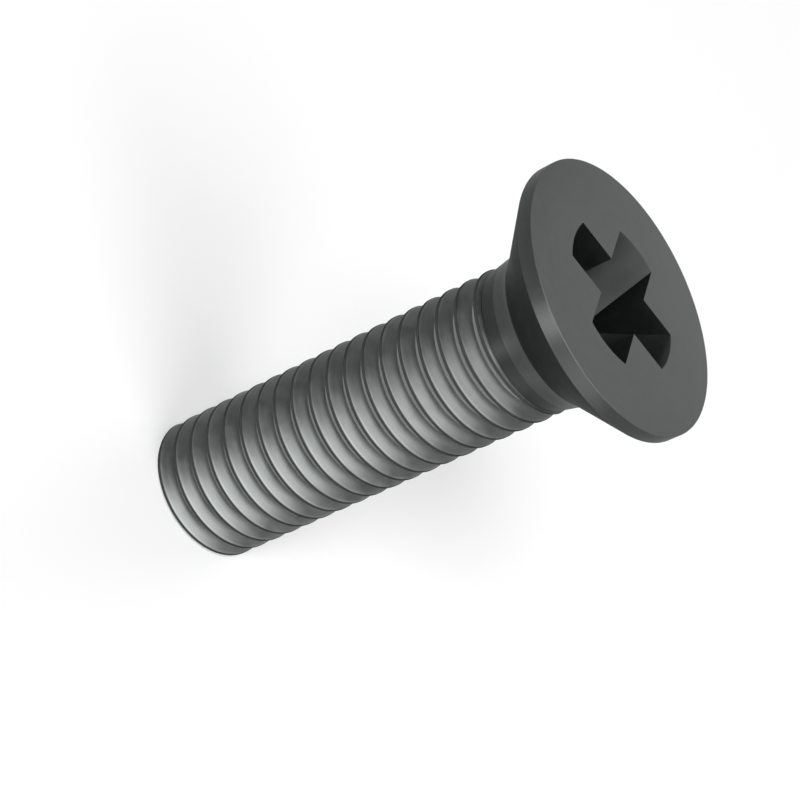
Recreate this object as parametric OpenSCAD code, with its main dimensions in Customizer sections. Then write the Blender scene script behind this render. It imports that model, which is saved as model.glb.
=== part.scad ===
// Countersunk machine screw with a crossed driver recess, standing on its flat tip.
// Millimetres. The axis is Z, with the tip on Z = 0 and the head upwards.

/* [Head] */
// Diameter of the flat face
head_d = 18; // [16.5:0.1:20]
// Height of the plain band round the rim
rim_height = 1.0; // [0.4:0.1:1.6]
// Included angle of the countersink
countersink_angle = 90; // [82:1:100]

/* [Cross recess] */
// Diameter across the wings at the face
recess_d = 10; // [8:0.1:11]
// Width of each wing
wing_width = 3.45; // [2.4:0.05:4]
// Depth of the wings' end walls
wing_depth = 5.4; // [3.5:0.1:6]
// Slope of the wings' end walls away from the axis
wing_slope = 26.5; // [20:0.5:30]
// Included angle of the conical bottom
bottom_angle = 140; // [120:5:170]
// Turn of the wings from the X axis
wing_turn = 0; // [-45:1:45]

/* [Neck] */
// Diameter where the neck leaves the countersink
neck_top_d = 10.4; // [10.2:0.05:11]
// Diameter where the neck meets the thread
neck_end_d = 9.55; // [9.2:0.05:9.7]
// Length of the tapered neck
neck_length = 2.2; // [1:0.1:5]

/* [Thread] */
// Distance from the face to the tip
overall_length = 34.5; // [20:0.5:50]
// Diameter over the crests
thread_d = 9.85; // [9.75:0.01:10]
// Rise of the thread in one turn
pitch = 1.5; // [1.25:0.05:1.75]
// Included angle between two flanks
flank_angle = 60; // [50:1:60]
// Flat on the crest, as a share of the pitch
crest_share = 0.125; // [0.1:0.005:0.18]
// Depth of the groove, as a share of the pitch
depth_share = 0.61; // [0.5:0.005:0.62]
// Turn from the X axis to where the crest runs out of the tip
thread_turn = 182; // [0:1:359]

/* [Hidden] */
$fn = 96;
// Straight steps in one turn of the thread
turn_steps = 40;
// Overshoot of the recess past the face
past = 0.1;
// Height of the blunt cone by which the thread's core reaches up into the neck
core_rise = 1;

head_r = head_d / 2;
thread_r = thread_d / 2;
seat_height = (head_r - neck_top_d / 2) / tan(countersink_angle / 2);
neck_top = overall_length - rim_height - seat_height;
thread_length = neck_top - neck_length;

bottom_r = recess_d / 2 - wing_depth * tan(wing_slope);
recess_depth = wing_depth + bottom_r / tan(bottom_angle / 2);

crest_half = crest_share * pitch / 2;
groove_depth = depth_share * pitch;
flank_run = tan(flank_angle / 2);
root_edge = crest_half + groove_depth * flank_run;
// Heights over a crest's middle where the profile turns: crest, flank, root, flank
profile_marks = [-crest_half, crest_half, root_edge, pitch - root_edge];

// Head, countersink and neck turned as one profile
module head_and_neck() {
    rotate_extrude()
        polygon([
            [0, thread_length],
            [neck_end_d / 2, thread_length],
            [neck_top_d / 2, neck_top],
            [head_r, overall_length - rim_height],
            [head_r, overall_length],
            [0, overall_length]
        ]);
}

// Two crossed slots, cut off by a cone at their ends and bottom
module cross_recess() {
    translate([0, 0, overall_length])
        intersection() {
            translate([0, 0, -recess_depth])
                linear_extrude(recess_depth + past)
                    rotate(wing_turn)
                        for (turn = [0, 90])
                            rotate(turn)
                                square([2 * recess_d, wing_width], center = true);
            rotate_extrude()
                polygon([
                    [0, -recess_depth],
                    [bottom_r, -wing_depth],
                    [recess_d / 2 + past * tan(wing_slope), past],
                    [0, past]
                ]);
        }
}

// Radius of the thread's outline at a height over a crest's middle
function outline_r(height) =
    let (from_crest = abs(height - pitch * round(height / pitch)))
    thread_r - min(groove_depth, max(0, from_crest - crest_half) / flank_run);

// Point of the thread's surface, held between the tip and the neck
function skin_point(turn, mark) =
    let (rise = pitch * turn / 360,
         z = max(0, min(thread_length, rise + mark)),
         r = outline_r(z - rise))
    [r * cos(turn), r * sin(turn), z];

// Helical thread as one skin wound from the tip to the neck, closed by a fan at each end
module thread() {
    marks = len(profile_marks);
    steps = turn_steps + ceil((thread_length + crest_half) / pitch * turn_steps);
    skin = [
        for (i = [0:steps + turn_steps], mark = profile_marks)
            skin_point((i - turn_steps) * 360 / turn_steps, mark)
    ];
    tip = len(skin);
    top = tip + 1;
    bands = [
        for (i = [0:steps - 1], k = [0:marks - 1])
            let (a = marks * i + k,
                 b = k < marks - 1 ? a + 1 : marks * (i + turn_steps))
            each [[a, b, b + marks], [a, b + marks, a + marks]]
    ];
    fans = [
        for (i = [0:turn_steps - 1], end = [0, 1])
            let (a = marks * (i + end * steps))
            end == 0 ? [tip, a, a + marks] : [top, a + marks, a],
        for (k = [0:marks - 1], end = [0, 1])
            let (a = marks * end * steps + k,
                 b = k < marks - 1 ? a + 1 : marks * (end * steps + turn_steps))
            end == 0 ? [tip, b, a] : [top, a, b]
    ];
    rotate(thread_turn)
        polyhedron(
            concat(skin, [[0, 0, 0], [0, 0, thread_length + core_rise]]),
            concat(bands, fans),
            convexity = 20
        );
}

module screw() {
    color([0.42, 0.43, 0.43])
        difference() {
            union() {
                head_and_neck();
                thread();
            }
            cross_recess();
        }
}

screw();
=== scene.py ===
import math
import bpy
from mathutils import Matrix, Vector


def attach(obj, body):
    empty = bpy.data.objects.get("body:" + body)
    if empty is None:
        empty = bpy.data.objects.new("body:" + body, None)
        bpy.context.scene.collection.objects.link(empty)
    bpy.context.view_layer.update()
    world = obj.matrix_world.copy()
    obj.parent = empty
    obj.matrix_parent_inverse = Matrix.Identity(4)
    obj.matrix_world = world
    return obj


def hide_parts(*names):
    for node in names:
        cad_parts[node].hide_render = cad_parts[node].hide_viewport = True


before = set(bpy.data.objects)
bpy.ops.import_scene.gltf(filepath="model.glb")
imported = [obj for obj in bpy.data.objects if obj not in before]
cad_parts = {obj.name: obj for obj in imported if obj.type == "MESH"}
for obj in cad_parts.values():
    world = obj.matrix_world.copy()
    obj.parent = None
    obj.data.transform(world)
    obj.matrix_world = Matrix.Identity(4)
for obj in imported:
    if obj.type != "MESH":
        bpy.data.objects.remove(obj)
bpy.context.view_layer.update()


def clearSelection():
    if bpy.context.mode != "OBJECT":
        bpy.ops.object.mode_set(mode="OBJECT")
    bpy.ops.object.select_all(action="DESELECT")


def pick(piece):
    clearSelection()
    piece.select_set(True)
    bpy.context.view_layer.objects.active = piece


# Edit mode with all of the piece selected
def openMesh(piece):
    pick(piece)
    bpy.ops.object.mode_set(mode="EDIT")
    bpy.ops.mesh.select_all(action="SELECT")


def applyModifier(piece, modifier):
    pick(piece)
    bpy.ops.object.modifier_apply(modifier=modifier.name)


# Applies a boolean of two solids to the first and removes the second
def join(piece, other, operation):
    cut = piece.modifiers.new("join", "BOOLEAN")
    cut.operation = operation
    cut.solver = "EXACT"
    cut.material_mode = "TRANSFER"
    cut.object = other
    applyModifier(piece, cut)
    bpy.data.objects.remove(other)


# A chain of edges through (radius, height) points in the XZ plane
def drawProfile(name, points):
    clearSelection()
    bpy.ops.mesh.primitive_plane_add(size=0.1, location=(0, 0, 0))
    chain = bpy.context.object
    chain.name = name
    openMesh(chain)
    bpy.ops.mesh.merge(type="CENTER")
    bpy.ops.transform.translate(value=(points[0][0], 0, points[0][1]))
    for here, there in zip(points, points[1:]):
        step = (there[0] - here[0], 0, there[1] - here[1])
        bpy.ops.mesh.extrude_region_move(TRANSFORM_OT_translate={"value": step})
    bpy.ops.object.mode_set(mode="OBJECT")
    return chain


# Turns a profile once round the Z axis into a skin
def spinProfile(profile, steps, gap, inside=False):
    openMesh(profile)
    bpy.ops.mesh.spin(steps=steps, angle=2 * math.pi, center=(0, 0, 0), axis=(0, 0, 1))
    bpy.ops.mesh.select_all(action="SELECT")
    bpy.ops.mesh.remove_doubles(threshold=gap)
    bpy.ops.mesh.normals_make_consistent(inside=inside)
    bpy.ops.object.mode_set(mode="OBJECT")


# Rounds the corner at b with an arc of that radius, in a few straight steps
def roundCorner(a, b, c, radius, steps=3):
    a, b, c = Vector(a), Vector(b), Vector(c)
    toA, toC = (a - b).normalized(), (c - b).normalized()
    half = toA.angle(toC) / 2
    middle = b + (toA + toC).normalized() * radius / math.sin(half)
    start = b + toA * radius / math.tan(half) - middle
    turn = start.angle_signed(b + toC * radius / math.tan(half) - middle)
    arc = []
    for i in range(steps + 1):
        arm = start.copy()
        arm.rotate(Matrix.Rotation(-turn * i / steps, 2))
        arc.append(tuple(middle + arm))
    return arc


print("camera")
cameraPlan = {
    "place": (-0.05561, -0.108208, 0.095506),   # metres
    "turn": (33.2172, -49.6094, 22.1133),       # degrees about X, Y and Z
    "lens": 101.859, "sensor": 36,              # millimetres
    "nearest": 0.005, "farthest": 50,           # metres
}
clearSelection()
bpy.ops.object.camera_add(
    location=cameraPlan["place"],
    rotation=[math.radians(a) for a in cameraPlan["turn"]],
)
camera = bpy.context.object
camera.name = "photoCamera"
camera.data.lens = cameraPlan["lens"]
camera.data.sensor_width = cameraPlan["sensor"]
camera.data.clip_start = cameraPlan["nearest"]
camera.data.clip_end = cameraPlan["farthest"]
bpy.context.scene.camera = camera


print("screw")
# The screw is made in millimetres, with its tip at height 0, and brought to metres at the end
screwPlan = {
    "length": 34.5,
    "headRadius": 8.995,
    "rimHeight": 1.0,
    "rimRounding": 0.07,
    "neckTopRadius": 5.2,
    "neckEndRadius": 4.775,
    "neckLength": 2.2,
    "neckFillet": 2.0,
    "neckChamfer": 0.04,
    "collarHeight": 1.15,
    "threadRadius": 4.925,
    "pitch": 1.5,
    "flankAngle": 60.0,         # degrees between two flanks
    "crestShare": 0.125,        # flat on the crest, as a share of the pitch
    "crestRounding": 0.035,
    "grooveDepth": 0.915,
    "rootRounding": 0.12,
    "threadTurn": 182.0,        # degrees to where the crest runs out of the tip
    "coreRise": 1.0,            # how far the thread's core reaches into the neck
    "coreShare": 0.5,           # its width there, as a share of the thread's
    "recessRadius": 5.0,
    "wingWidth": 3.45,
    "wingDepth": 5.4,
    "wingSlope": 26.5,          # degrees from the axis
    "bottomAngle": 140.0,       # degrees across the pointed bottom
    "recessPast": 0.2,          # how far the cutting tool stands out of the face
    "turnSteps": 96,            # straight steps in a turn of the thread
    "roundSteps": 192,          # and in a turn of the head
    "filletSteps": 10,
    "smoothAngle": 25.0,        # degrees past which an edge looks sharp
}
millimetre = 0.001              # metres
mergeGap = 0.001                # millimetres, as are the next three
cutGap = 0.0001
seamGap = 0.002
sliverSize = 0.0005

seatHeight = screwPlan["headRadius"] - screwPlan["neckTopRadius"]      # 45 degrees each side
neckTop = screwPlan["length"] - screwPlan["rimHeight"] - seatHeight
threadLength = neckTop - screwPlan["neckLength"]


# The thread's ridge, one pitch high: half a root, a flank, the crest, a flank and half a root
def threadProfile(plan):
    crest = plan["threadRadius"]
    root = crest - plan["grooveDepth"]
    flankRun = math.tan(math.radians(plan["flankAngle"] / 2))
    crestHalf = plan["crestShare"] * plan["pitch"] / 2
    footHalf = crestHalf + plan["grooveDepth"] * flankRun
    middle, foot = (root, -plan["pitch"] / 2), (root, -footHalf)
    edge, otherEdge = (crest, -crestHalf), (crest, crestHalf)
    rise = [middle]
    rise += roundCorner(middle, foot, edge, plan["rootRounding"])
    rise += roundCorner(foot, edge, otherEdge, plan["crestRounding"])
    return rise + [(r, -z) for r, z in reversed(rise)]


# The ridge wound into a helix with turns to spare, and cut off at the tip and at the neck
def makeThread(plan):
    below, above = 2, 1
    points = [(r, z - below * plan["pitch"]) for r, z in threadProfile(plan)]
    thread = drawProfile("thread", points)
    winding = thread.modifiers.new("winding", "SCREW")
    winding.axis = "Z"
    winding.screw_offset = plan["pitch"]
    winding.iterations = math.ceil(threadLength / plan["pitch"]) + below + above
    winding.steps = winding.render_steps = plan["turnSteps"]
    winding.use_merge_vertices = True
    winding.merge_threshold = mergeGap
    winding.use_smooth_shade = True
    applyModifier(thread, winding)
    turn = math.radians(plan["threadTurn"])
    bpy.ops.transform.rotate(value=-turn, orient_axis="Z", center_override=(0, 0, 0))
    bpy.ops.object.transform_apply(location=False, rotation=True, scale=False)
    openMesh(thread)
    bpy.ops.mesh.remove_doubles(threshold=mergeGap)
    bpy.ops.mesh.bisect(
        plane_co=(0, 0, 0), plane_no=(0, 0, 1),
        use_fill=True, clear_inner=True, threshold=cutGap,
    )
    bpy.ops.mesh.select_all(action="SELECT")
    bpy.ops.mesh.bisect(
        plane_co=(0, 0, threadLength), plane_no=(0, 0, 1),
        use_fill=True, clear_outer=True, threshold=cutGap,
    )
    # the cut face at the neck is still selected, and is drawn out into the end of the core
    share = plan["coreShare"]
    bpy.ops.mesh.extrude_region_move(TRANSFORM_OT_translate={"value": (0, 0, plan["coreRise"])})
    bpy.ops.transform.resize(value=(share, share, 1), center_override=(0, 0, 0))
    bpy.ops.mesh.select_all(action="SELECT")
    bpy.ops.mesh.normals_make_consistent(inside=False)
    bpy.ops.object.mode_set(mode="OBJECT")
    return thread


# Neck, countersink and rim turned from one profile
def makeHead(plan):
    length, rim, neckEnd = plan["length"], plan["headRadius"], plan["neckEndRadius"]
    edge, chamfer = plan["rimRounding"], plan["neckChamfer"]
    face, side = (rim, length), (rim, length - plan["rimHeight"])
    cone, middle = (plan["neckTopRadius"], neckTop), (0, length)
    share = plan["collarHeight"] / plan["neckLength"]
    collarRadius = plan["neckTopRadius"] + (neckEnd - plan["neckTopRadius"]) * share
    collar = (collarRadius, neckTop - plan["collarHeight"])
    points = [(0, threadLength), (neckEnd - chamfer, threadLength)]
    points += [(neckEnd, threadLength + chamfer), collar]
    points += roundCorner(collar, cone, side, plan["neckFillet"], plan["filletSteps"])
    points += roundCorner(cone, side, face, edge)
    points += roundCorner(side, face, middle, edge)
    head = drawProfile("screwBody", points + [middle])
    spinProfile(head, plan["roundSteps"], mergeGap)
    return head


# Two crossed slots, kept only inside a cone with a shallow pointed bottom
def makeRecessTool(plan):
    length, past = plan["length"], plan["recessPast"]
    slope = math.tan(math.radians(plan["wingSlope"]))
    bottom = plan["recessRadius"] - plan["wingDepth"] * slope
    depth = plan["wingDepth"] + bottom / math.tan(math.radians(plan["bottomAngle"] / 2))
    slotLength = 4 * plan["recessRadius"]
    clearSelection()
    slots = []
    for turn in (0, 90):
        bpy.ops.mesh.primitive_cube_add(
            size=1, location=(0, 0, length + past - (depth + past) / 2),
            rotation=(0, 0, math.radians(turn)),
            scale=(slotLength, plan["wingWidth"], depth + past),
        )
        slots.append(bpy.context.object)
    join(slots[0], slots[1], "UNION")
    points = [(0, length - depth), (bottom, length - plan["wingDepth"])]
    points += [(plan["recessRadius"] + past * slope, length + past), (0, length + past)]
    cone = drawProfile("recessCone", points)
    spinProfile(cone, plan["roundSteps"], mergeGap)
    join(slots[0], cone, "INTERSECT")
    return slots[0]


screw = makeHead(screwPlan)
thread = makeThread(screwPlan)
recess = makeRecessTool(screwPlan)


print("steel")
# An edgeTint under 1 dims the shine at grazing angles, and brushing draws it out into arcs.
# Streaks across, clouds and grain are counted in a millimetre, streaks around in a radian.
# The edge tone is the painted tone of the narrow band at edgeRadius, and the shine tone that of a
# painted highlight just inside it.
# Each part's colour is the same steel lightened or darkened to paint light and shade: the thread
# lighter, the cone, neck and recess darker, the collar between; face and rim keep the plain tone
steelPlan = {
    "thread": {
        # the thread's colour is the steel lightened: painted light that makes up for the shade in
        # its grooves
        "color": (0.298, 0.312, 0.308), "colorSpread": 0.18,
        "roughness": 0.50, "roughnessSpread": 0.10, "edgeTint": 0.35, "brushing": 0.0,
        "streaksAcross": 6.0, "streaksAround": 1.6, "streakDepth": 0.60,
        "cloudScale": 0.9, "grainScale": 9.0, "grainDepth": 0.35,
        # a painted dark reflection line on the crest, and a painted highlight stripe just inside it
        "edgeRadius": 4.925, "edgeWidth": 0.06, "paintedEdgeTone": 0.22, "paintedShineTone": 1.30,
    },
    "face": {
        "color": (0.136, 0.143, 0.141), "colorSpread": 0.12,
        "roughness": 0.62, "roughnessSpread": 0.04, "edgeTint": 1.0, "brushing": 0.0,
        "streaksAcross": 2.0, "streaksAround": 2.5, "streakDepth": 0.12,
        "cloudScale": 1.1, "grainScale": 9.0, "grainDepth": 0.45,
        # a painted highlight along the face's outer edge
        "edgeRadius": 9.0, "edgeWidth": 0.05, "paintedEdgeTone": 1.40, "paintedShineTone": 1.0,
    },
    "rim": {
        "color": (0.125, 0.133, 0.131), "colorSpread": 0.18,
        "roughness": 0.52, "roughnessSpread": 0.06, "edgeTint": 1.0, "brushing": 1.0,
        "streaksAcross": 6.0, "streaksAround": 1.5, "streakDepth": 0.30,
        "cloudScale": 0.8, "grainScale": 9.0, "grainDepth": 0.20,
        "edgeRadius": 9.0, "edgeWidth": 0.05, "paintedEdgeTone": 1.0, "paintedShineTone": 1.0,
    },
    "cone": {
        # the cone's colour is the steel darkened nearly to black: painted shade for the dark
        # reflections under the head
        "color": (0.031, 0.033, 0.033), "colorSpread": 0.20,
        "roughness": 0.52, "roughnessSpread": 0.08, "edgeTint": 0.58, "brushing": 0.0,
        "streaksAcross": 3.0, "streaksAround": 1.5, "streakDepth": 0.30,
        "cloudScale": 0.8, "grainScale": 9.0, "grainDepth": 0.30,
        "edgeRadius": 9.0, "edgeWidth": 0.05, "paintedEdgeTone": 1.0, "paintedShineTone": 1.0,
    },
    "collar": {
        # the collar's colour is the steel lightened: a painted band of highlight
        "color": (0.096, 0.102, 0.100), "colorSpread": 0.24,
        "roughness": 0.46, "roughnessSpread": 0.06, "edgeTint": 1.0, "brushing": 1.0,
        "streaksAcross": 6.0, "streaksAround": 1.5, "streakDepth": 0.60,
        "cloudScale": 0.8, "grainScale": 9.0, "grainDepth": 0.30,
        "edgeRadius": 9.0, "edgeWidth": 0.05, "paintedEdgeTone": 1.0, "paintedShineTone": 1.0,
    },
    "neck": {
        # the neck's colour is the steel darkened: painted shade between the thread and the collar
        "color": (0.052, 0.055, 0.054), "colorSpread": 0.20,
        "roughness": 0.50, "roughnessSpread": 0.06, "edgeTint": 1.0, "brushing": 1.0,
        "streaksAcross": 6.0, "streaksAround": 1.5, "streakDepth": 0.60,
        "cloudScale": 0.8, "grainScale": 9.0, "grainDepth": 0.30,
        # a painted highlight at the neck's lower edge
        "edgeRadius": 4.775, "edgeWidth": 0.05, "paintedEdgeTone": 1.3, "paintedShineTone": 1.0,
    },
    "recess": {
        # the recess's colour is the steel darkened: painted shade in the recess
        "color": (0.078, 0.083, 0.081), "colorSpread": 0.12,
        "roughness": 0.47, "roughnessSpread": 0.05, "edgeTint": 1.0, "brushing": 0.0,
        "streaksAcross": 1.2, "streaksAround": 4.0, "streakDepth": 0.10,
        "cloudScale": 1.0, "grainScale": 8.0, "grainDepth": 0.50,
        # a painted highlight along the recess's edge
        "edgeRadius": 5.0, "edgeWidth": 0.05, "paintedEdgeTone": 1.15, "paintedShineTone": 1.0,
    },
}
reliefPlan = {"strength": 0.3, "distance": 0.00002}     # distance in metres
brushTurn = 0.25                # of a full turn, which lays the brushing round the axis


# A node with its settings, and with its sockets set to numbers or joined to other sockets
def addNode(tree, kind, settings=None, sockets=None):
    node = tree.nodes.new(kind)
    for name, value in (settings or {}).items():
        setattr(node, name, value)
    for name, value in (sockets or {}).items():
        if isinstance(value, bpy.types.NodeSocket):
            tree.links.new(value, node.inputs[name])
        else:
            node.inputs[name].default_value = value
    return node


def addMath(tree, operation, first, second):
    sockets = {0: first, 1: second}
    return addNode(tree, "ShaderNodeMath", {"operation": operation}, sockets).outputs[0]


def addScaled(tree, value, factor, shift):
    return addMath(tree, "ADD", addMath(tree, "MULTIPLY", value, factor), shift)


# A smooth change from low to high while the value goes from start to end
def addRamp(tree, value, start, end, low=0.0, high=1.0):
    return addNode(tree, "ShaderNodeMapRange", {"interpolation_type": "SMOOTHSTEP"}, {
        "Value": value, "From Min": start, "From Max": end, "To Min": low, "To Max": high,
    }).outputs[0]


def newGroup(name, inputs, outputs):
    group = bpy.data.node_groups.new(name, "ShaderNodeTree")
    for label, kind in inputs.items():
        group.interface.new_socket(label, in_out="INPUT", socket_type="NodeSocket" + kind)
    for label in outputs:
        group.interface.new_socket(label, in_out="OUTPUT", socket_type="NodeSocketFloat")
    return group, group.nodes.new("NodeGroupInput").outputs, group.nodes.new("NodeGroupOutput")


# Streaks that run round the screw's axis, as turning and thread rolling leave them
def makeTurnedStreaks():
    group, given, result = newGroup(
        "turnedStreaks", {"Place": "Vector", "Across": "Float", "Around": "Float"},
        ["Streaks", "Radius"],
    )
    flat = addNode(group, "ShaderNodeVectorMath", {"operation": "MULTIPLY"}, {
        0: given["Place"], 1: (1, 1, 0),
    }).outputs[0]
    length = addNode(group, "ShaderNodeVectorMath", {"operation": "LENGTH"}, {0: flat})
    radius = length.outputs["Value"]
    bearing = addNode(group, "ShaderNodeVectorMath", {"operation": "NORMALIZE"}, {0: flat})
    side = addNode(group, "ShaderNodeSeparateXYZ", sockets={0: bearing.outputs[0]}).outputs
    height = addNode(group, "ShaderNodeSeparateXYZ", sockets={0: given["Place"]}).outputs["Z"]
    # the bearing fills two of the noise's four dimensions, so that no seam shows
    place = addNode(group, "ShaderNodeCombineXYZ", sockets={
        "X": addMath(group, "MULTIPLY", radius, given["Across"]),
        "Y": addMath(group, "MULTIPLY", height, given["Across"]),
        "Z": addMath(group, "MULTIPLY", side["X"], given["Around"]),
    })
    noise = addNode(group, "ShaderNodeTexNoise", {"noise_dimensions": "4D"}, {
        "Vector": place.outputs[0], "W": addMath(group, "MULTIPLY", side["Y"], given["Around"]),
        "Scale": 1.0, "Detail": 3.0, "Roughness": 0.6,
    })
    group.links.new(noise.outputs["Fac"], result.inputs["Streaks"])
    group.links.new(radius, result.inputs["Radius"])
    return group


# Soft clouds of tone, and a fine satin grain
def makeSatin():
    group, given, result = newGroup(
        "satin", {"Place": "Vector", "Cloud Scale": "Float", "Grain Scale": "Float"},
        ["Clouds", "Grain"],
    )
    for label, scale, detail in (("Clouds", "Cloud Scale", 4.0), ("Grain", "Grain Scale", 2.0)):
        noise = addNode(group, "ShaderNodeTexNoise", sockets={
            "Vector": given["Place"], "Scale": given[scale], "Detail": detail, "Roughness": 0.55,
        })
        group.links.new(noise.outputs["Fac"], result.inputs[label])
    return group


# Masks for painted light on edges: a band at one radius, and a broken shine just inside it
def makePaintedEdgeLight():
    group, given, result = newGroup(
        "paintedEdgeLight", {"Radius": "Float", "Edge": "Float", "Width": "Float", "Streaks": "Float"},
        ["Edge", "Shine"],
    )
    shineReach = 3.0                            # in widths of the band
    dullStreak, brightStreak = 0.35, 0.6
    dullShine = 0.2                             # what a dull streak leaves of the shine
    inside = addMath(group, "SUBTRACT", given["Edge"], given["Radius"])
    edge = addRamp(group, inside, given["Width"], 0.0)
    wide = addMath(group, "MULTIPLY", given["Width"], shineReach)
    inner = addRamp(group, inside, wide, given["Width"])
    broken = addRamp(group, given["Streaks"], dullStreak, brightStreak, low=dullShine)
    shine = addMath(group, "MULTIPLY", addMath(group, "SUBTRACT", inner, edge), broken)
    group.links.new(edge, result.inputs["Edge"])
    group.links.new(shine, result.inputs["Shine"])
    return group


turnedStreaks, satin, paintedEdgeLight = makeTurnedStreaks(), makeSatin(), makePaintedEdgeLight()


def useGroup(tree, group, sockets):
    return addNode(tree, "ShaderNodeGroup", {"node_tree": group}, sockets).outputs


def makeSteel(name, plan):
    steel = bpy.data.materials.new(name)
    steel.use_nodes = True
    tree = steel.node_tree
    tree.nodes.clear()
    place = addNode(tree, "ShaderNodeMapping", sockets={
        "Vector": addNode(tree, "ShaderNodeTexCoord").outputs["Object"],
        "Scale": (1 / millimetre,) * 3,
    }).outputs[0]
    turned = useGroup(tree, turnedStreaks, {
        "Place": place, "Across": plan["streaksAcross"], "Around": plan["streaksAround"],
    })
    skin = useGroup(tree, satin, {
        "Place": place, "Cloud Scale": plan["cloudScale"], "Grain Scale": plan["grainScale"],
    })
    edgeLight = useGroup(tree, paintedEdgeLight, {
        "Radius": turned["Radius"], "Edge": plan["edgeRadius"], "Width": plan["edgeWidth"],
        "Streaks": turned["Streaks"],
    })

    # clouds and streaks both lie about a half, so uneven lies about 0; a tone of 1 is plain
    uneven = addMath(tree, "SUBTRACT", addMath(tree, "ADD", skin["Clouds"], turned["Streaks"]), 1.0)
    tone = addScaled(tree, uneven, plan["colorSpread"] * 2, 1.0)
    # the edge band and the shine just inside it paint shade and highlights into the colour
    for mask, change in (("Edge", plan["paintedEdgeTone"]), ("Shine", plan["paintedShineTone"])):
        tone = addMath(tree, "MULTIPLY", tone, addScaled(tree, edgeLight[mask], change - 1, 1.0))
    shade = addNode(tree, "ShaderNodeVectorMath", {"operation": "SCALE"}, {
        0: plan["color"], "Scale": tone,
    })
    rough = addScaled(tree, uneven, plan["roughnessSpread"] * 2, plan["roughness"])

    relief = addMath(
        tree, "ADD",
        addMath(tree, "MULTIPLY", turned["Streaks"], plan["streakDepth"]),
        addMath(tree, "MULTIPLY", skin["Grain"], plan["grainDepth"]),
    )
    bump = addNode(tree, "ShaderNodeBump", sockets={
        "Height": relief, "Strength": reliefPlan["strength"], "Distance": reliefPlan["distance"],
    })
    shader = addNode(tree, "ShaderNodeBsdfPrincipled", sockets={
        "Base Color": shade.outputs[0], "Roughness": rough, "Metallic": 1.0,
        "Normal": bump.outputs[0], "Specular Tint": (plan["edgeTint"],) * 3 + (1,),
        "Anisotropic": plan["brushing"], "Anisotropic Rotation": brushTurn,
    })
    addNode(tree, "ShaderNodeOutputMaterial", sockets={"Surface": shader.outputs[0]})
    return steel


# The head's painted light zones, lit and shaded copies of one steel, lie one under another, and
# each ends at one of these heights
headPaintedLightZones = ("face", "rim", "cone", "collar", "neck")
coneStart = 0.1                 # the cone's painted shade starts in the fillet, this far above the neck
paintedLightZoneEnds = [
    screwPlan["length"] - screwPlan["rimRounding"] / 2,
    screwPlan["length"] - screwPlan["rimHeight"],
    neckTop + coneStart,
    neckTop - screwPlan["collarHeight"],
]
for piece, paintedLightZones in ((screw, headPaintedLightZones), (thread, ["thread"]), (recess, ["recess"])):
    piece.data.materials.clear()
    for paintedLightZone in paintedLightZones:
        piece.data.materials.append(makeSteel(paintedLightZone + "Steel", steelPlan[paintedLightZone]))
for facet in screw.data.polygons:
    facet.material_index = sum(facet.center.z < end for end in paintedLightZoneEnds)

join(screw, thread, "UNION")
join(screw, recess, "DIFFERENCE")
# the booleans leave edges so short that the mesh would come open once it is in metres
openMesh(screw)
bpy.ops.mesh.remove_doubles(threshold=seamGap)
bpy.ops.mesh.dissolve_degenerate(threshold=sliverSize)
bpy.ops.object.mode_set(mode="OBJECT")
screw.matrix_world = Matrix.Scale(millimetre, 4)
pick(screw)
bpy.ops.object.transform_apply(location=True, rotation=True, scale=True)
bpy.ops.object.shade_smooth_by_angle(angle=math.radians(screwPlan["smoothAngle"]))
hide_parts("screw")
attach(screw, "root")


print("floor")
floorPlan = {
    "radius": 0.9, "wallRadius": 1.5, "wallHeight": 0.55,       # metres
    "wallCurve": 80, "wallSteps": 8,                            # degrees, and steps in them
    "turnSteps": 96, "mergeGap": 0.0001,                        # metres
    "color": (0.76, 0.76, 0.76), "glow": 0.22, "wallGlow": 0.48,
    "glowStart": 0.2, "glowEnd": 1.3,                           # metres from the screw
}


# A wide plain floor that curves up into a low backdrop all round
def makeFloor(plan):
    run, rise = plan["wallRadius"] - plan["radius"], plan["wallHeight"]
    points = [(0, 0)]
    for step in range(plan["wallSteps"] + 1):
        turn = math.radians(step * plan["wallCurve"] / plan["wallSteps"])
        points.append((plan["radius"] + run * math.sin(turn), rise * (1 - math.cos(turn))))
    floor = drawProfile("floor", points)
    spinProfile(floor, plan["turnSteps"], plan["mergeGap"], inside=True)
    bpy.ops.object.shade_smooth()
    return floor


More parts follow.
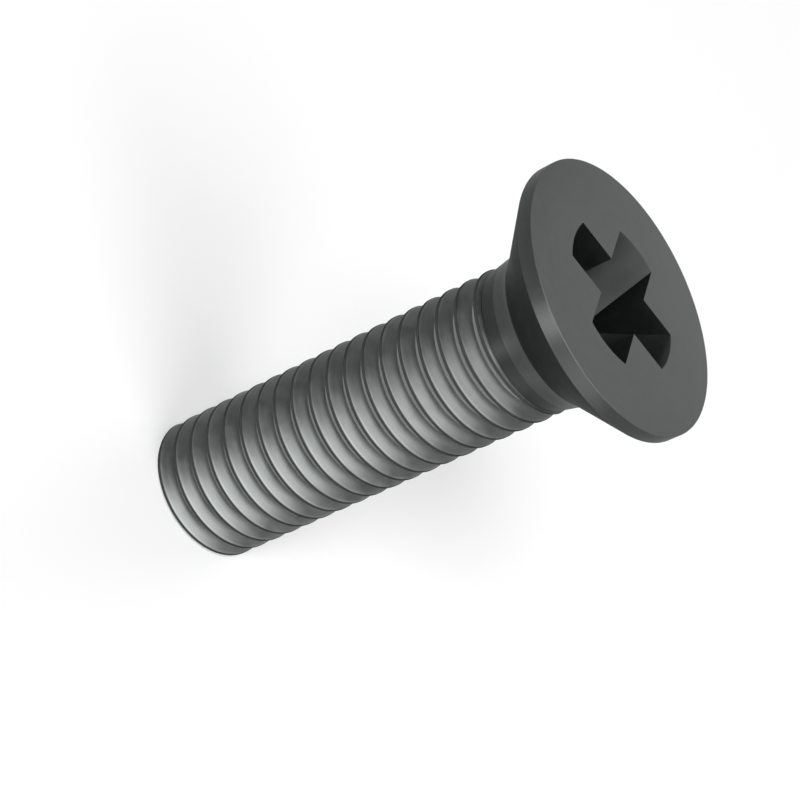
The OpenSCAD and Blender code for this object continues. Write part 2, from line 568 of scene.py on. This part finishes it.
# The floor's glow shows to the camera and in reflections, and adds no diffuse light
def makeFloorPaint(plan):
    paint = bpy.data.materials.new("floorPaint")
    paint.use_nodes = True
    tree = paint.node_tree
    tree.nodes.clear()
    ray = addNode(tree, "ShaderNodeLightPath").outputs
    seen = addMath(tree, "MAXIMUM", ray["Is Camera Ray"], ray["Is Glossy Ray"])
    seen = addMath(tree, "MAXIMUM", seen, ray["Is Transmission Ray"])
    place = addNode(tree, "ShaderNodeTexCoord").outputs["Object"]
    length = addNode(tree, "ShaderNodeVectorMath", {"operation": "LENGTH"}, {0: place})
    glow = addRamp(
        tree, length.outputs["Value"], plan["glowStart"], plan["glowEnd"],
        low=plan["glow"], high=plan["wallGlow"],
    )
    shader = addNode(tree, "ShaderNodeBsdfPrincipled", sockets={
        "Base Color": plan["color"] + (1,), "Roughness": 1.0, "Specular IOR Level": 0.0,
        "Emission Color": (1, 1, 1, 1), "Emission Strength": addMath(tree, "MULTIPLY", seen, glow),
    })
    addNode(tree, "ShaderNodeOutputMaterial", sockets={"Surface": shader.outputs[0]})
    return paint


floor = makeFloor(floorPlan)
floor.data.materials.clear()
floor.data.materials.append(makeFloorPaint(floorPlan))


print("lights")
# bearing and height in degrees, away and side in metres, power in watts
lampPlan = {
    "leftLamp": {"bearing": 236, "height": 50, "away": 1.3, "side": 0.45, "power": 9.2},
    "rightLamp": {"bearing": 297, "height": 50, "away": 1.3, "side": 0.9, "power": 7.8},
    "backLamp": {"bearing": 60, "height": 50, "away": 1.3, "side": 0.7, "power": 2.0},
    "lowBackLamp": {"bearing": 60, "height": 24, "away": 1.3, "side": 0.7, "power": 1.1},
    "topLamp": {"bearing": 0, "height": 88, "away": 1.3, "side": 1.0, "power": 3.6},
}
lampAim = Vector((0, 0, 0.02))          # the middle of the screw, in metres
worldPlan = {"color": (1, 1, 1), "strength": 0.045}


def addLamp(name, plan):
    bearing, height = math.radians(plan["bearing"]), math.radians(plan["height"])
    toward = Vector((
        math.cos(bearing) * math.cos(height),
        math.sin(bearing) * math.cos(height),
        math.sin(height),
    ))
    clearSelection()
    bpy.ops.object.light_add(
        type="AREA", location=toward * plan["away"] + lampAim,
        rotation=toward.to_track_quat("Z", "Y").to_euler(),
    )
    lamp = bpy.context.object
    lamp.name = name
    lamp.data.shape = "DISK"
    lamp.data.size = plan["side"]
    lamp.data.energy = plan["power"]
    lamp.visible_camera = False


for name, plan in lampPlan.items():
    addLamp(name, plan)

world = bpy.data.worlds.new("studio")
world.use_nodes = True
backlight = world.node_tree.nodes["Background"]
backlight.inputs["Color"].default_value = worldPlan["color"] + (1,)
backlight.inputs["Strength"].default_value = worldPlan["strength"]
bpy.context.scene.world = world
bpy.context.scene.view_settings.view_transform = "Standard"


bpy.context.view_layer.update()
